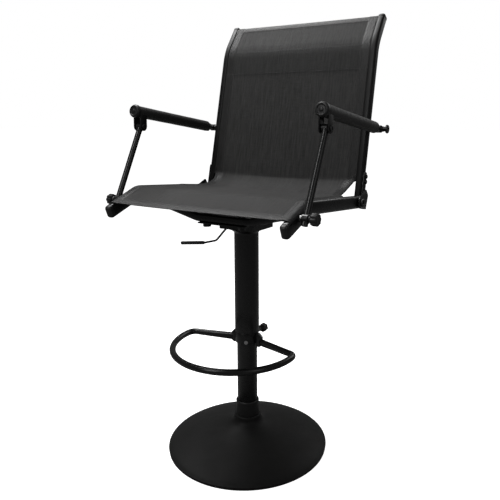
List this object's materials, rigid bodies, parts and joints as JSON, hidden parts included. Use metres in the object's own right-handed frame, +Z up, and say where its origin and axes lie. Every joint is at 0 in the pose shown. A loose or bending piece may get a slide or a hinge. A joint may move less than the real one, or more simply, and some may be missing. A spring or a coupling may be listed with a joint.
{
  "type": "blind swivel chair",
  "caption": "Gas-lift swivel chair for a ground blind: round base, sliding footrest ring, mesh sling seat, fold-down back and linked padded armrests.",
  "frame": {"origin": "on the ground, on the pedestal's axis, at the middle of the base disc's underside", "axes": "+Z up along the pedestal, -Y the way the seat faces, +X to the right seen from in front"},
  "size_m": [0.566, 0.5318, 1.0868],
  "materials": {
    "powder": "satin black powder coat",
    "base_paint": "dull textured black paint",
    "plastic": "black moulded plastic",
    "zinc": "zinc-plated",
    "steel": "ground, oiled",
    "rubber": "matt black",
    "foam": "closed-cell black foam",
    "mesh_fabric": "coated mesh weave, dark grey"
  },
  "bodies": {
    "base": {"base_plate": "base_paint", "base_weight": "steel", "base_ring": "rubber", "base_collar": "plastic", "column": "powder", "thrust_bearing": "steel", "column_bush": "plastic"},
    "gas_rod": {"piston_rod": "steel", "rod_clip": "zinc"},
    "carriage": {"gas_cylinder": "steel", "cylinder_gland": "plastic", "column_shroud": "powder", "shroud_flare": "powder", "lift_housing": "powder", "lever_pin": "steel", "seat_plate": "powder", "front_crossbar": "powder", "rear_crossbar": "powder", "seat_bolt_front_left": "powder", "seat_bolt_front_right": "powder", "seat_bolt_rear_left": "powder", "seat_bolt_rear_right": "powder", "left_seat_rail": "powder", "left_rail_cap": "plastic", "left_hinge_bolt": "powder", "left_strut_stud": "zinc", "right_seat_rail": "powder", "right_rail_cap": "plastic", "right_hinge_bolt": "powder", "right_strut_stud": "zinc", "seat_sling": "mesh_fabric"},
    "lever": {"lift_lever": "powder", "lever_grip": "plastic"},
    "valve": {"valve_pin": "steel"},
    "footrest_slider": {"footrest_bush": "plastic"},
    "footrest": {"footrest_clamp": "powder", "footrest_hoop": "powder"},
    "footrest_clamp_knob": {"footrest_knob": "plastic"},
    "backrest": {"left_upright": "powder", "left_hinge_casting": "powder", "left_arm_bolt": "powder", "right_upright": "powder", "right_hinge_casting": "powder", "right_arm_bolt": "powder", "upper_back_bar": "powder", "lower_back_bar": "powder", "back_sling": "mesh_fabric"},
    "left_arm": {"left_arm_tube": "powder", "left_arm_pad": "foam", "left_arm_cap": "plastic", "left_clevis_pin": "zinc"},
    "left_strut": {"left_strut": "powder"},
    "left_strut_knob": {"left_strut_knob": "plastic"},
    "right_arm": {"right_arm_tube": "powder", "right_arm_pad": "foam", "right_arm_cap": "plastic", "right_clevis_pin": "zinc"},
    "right_strut": {"right_strut": "powder"},
    "right_strut_knob": {"right_strut_knob": "plastic"}
  },
  "joints": [
    {"name": "seat_swivel", "type": "hinge", "parent": "base", "child": "gas_rod", "pos_m": [0, 0, 0.043], "axis": [0, 0, 1], "continuous": true},
    {"name": "seat_lift", "type": "slide", "parent": "gas_rod", "child": "carriage", "axis": [0, 0, 1], "range_m": [0, 0.2]},
    {"name": "lever_lift", "type": "hinge", "parent": "carriage", "child": "lever", "pos_m": [-0.022, 0, 0.573], "axis": [0, 1, 0], "range_deg": [0, 8], "stiffness_Nm_per_rad": 1.5, "springref_deg": -5.73},
    {"name": "valve_press", "type": "slide", "parent": "carriage", "child": "valve", "axis": [0, 0, -1], "range_m": [0, 0.0036]},
    {"name": "backrest_fold", "type": "hinge", "parent": "carriage", "child": "backrest", "pos_m": [0, 0.125, 0.622], "axis": [1, 0, 0], "range_deg": [0, 88]},
    {"name": "left_arm_pivot", "type": "hinge", "parent": "backrest", "child": "left_arm", "pos_m": [-0.2546, 0.208, 0.795], "axis": [1, 0, 0], "range_deg": [-88, 0]},
    {"name": "left_strut_pivot", "type": "hinge", "parent": "carriage", "child": "left_strut", "pos_m": [-0.2546, -0.171, 0.628], "axis": [1, 0, 0], "range_deg": [0, 88]},
    {"name": "left_strut_knob_turn", "type": "hinge", "parent": "carriage", "child": "left_strut_knob", "pos_m": [-0.28, -0.171, 0.628], "axis": [-1, 0, 0], "continuous": true},
    {"name": "right_arm_pivot", "type": "hinge", "parent": "backrest", "child": "right_arm", "pos_m": [0.2546, 0.208, 0.795], "axis": [1, 0, 0], "range_deg": [-88, 0]},
    {"name": "right_strut_pivot", "type": "hinge", "parent": "carriage", "child": "right_strut", "pos_m": [0.2546, -0.171, 0.628], "axis": [1, 0, 0], "range_deg": [0, 88]},
    {"name": "right_strut_knob_turn", "type": "hinge", "parent": "carriage", "child": "right_strut_knob", "pos_m": [0.28, -0.171, 0.628], "axis": [1, 0, 0], "continuous": true},
    {"name": "footrest_height", "type": "slide", "parent": "base", "child": "footrest_slider", "axis": [0, 0, 1], "range_m": [-0.13, 0]},
    {"name": "footrest_turn", "type": "hinge", "parent": "footrest_slider", "child": "footrest", "pos_m": [0, 0, 0.275], "axis": [0, 0, 1], "continuous": true},
    {"name": "footrest_knob_turn", "type": "hinge", "parent": "footrest", "child": "footrest_clamp_knob", "pos_m": [0, 0.05, 0.28], "axis": [0, 1, 0], "continuous": true}
  ],
  "couplings": [
    {"joint": "valve_press", "follows": "lever_lift", "m_per_rad": 0.02435},
    {"joint": "left_arm_pivot", "follows": "backrest_fold", "ratio": -1},
    {"joint": "left_strut_pivot", "follows": "backrest_fold", "ratio": 1},
    {"joint": "right_arm_pivot", "follows": "backrest_fold", "ratio": -1},
    {"joint": "right_strut_pivot", "follows": "backrest_fold", "ratio": 1}
  ]
}
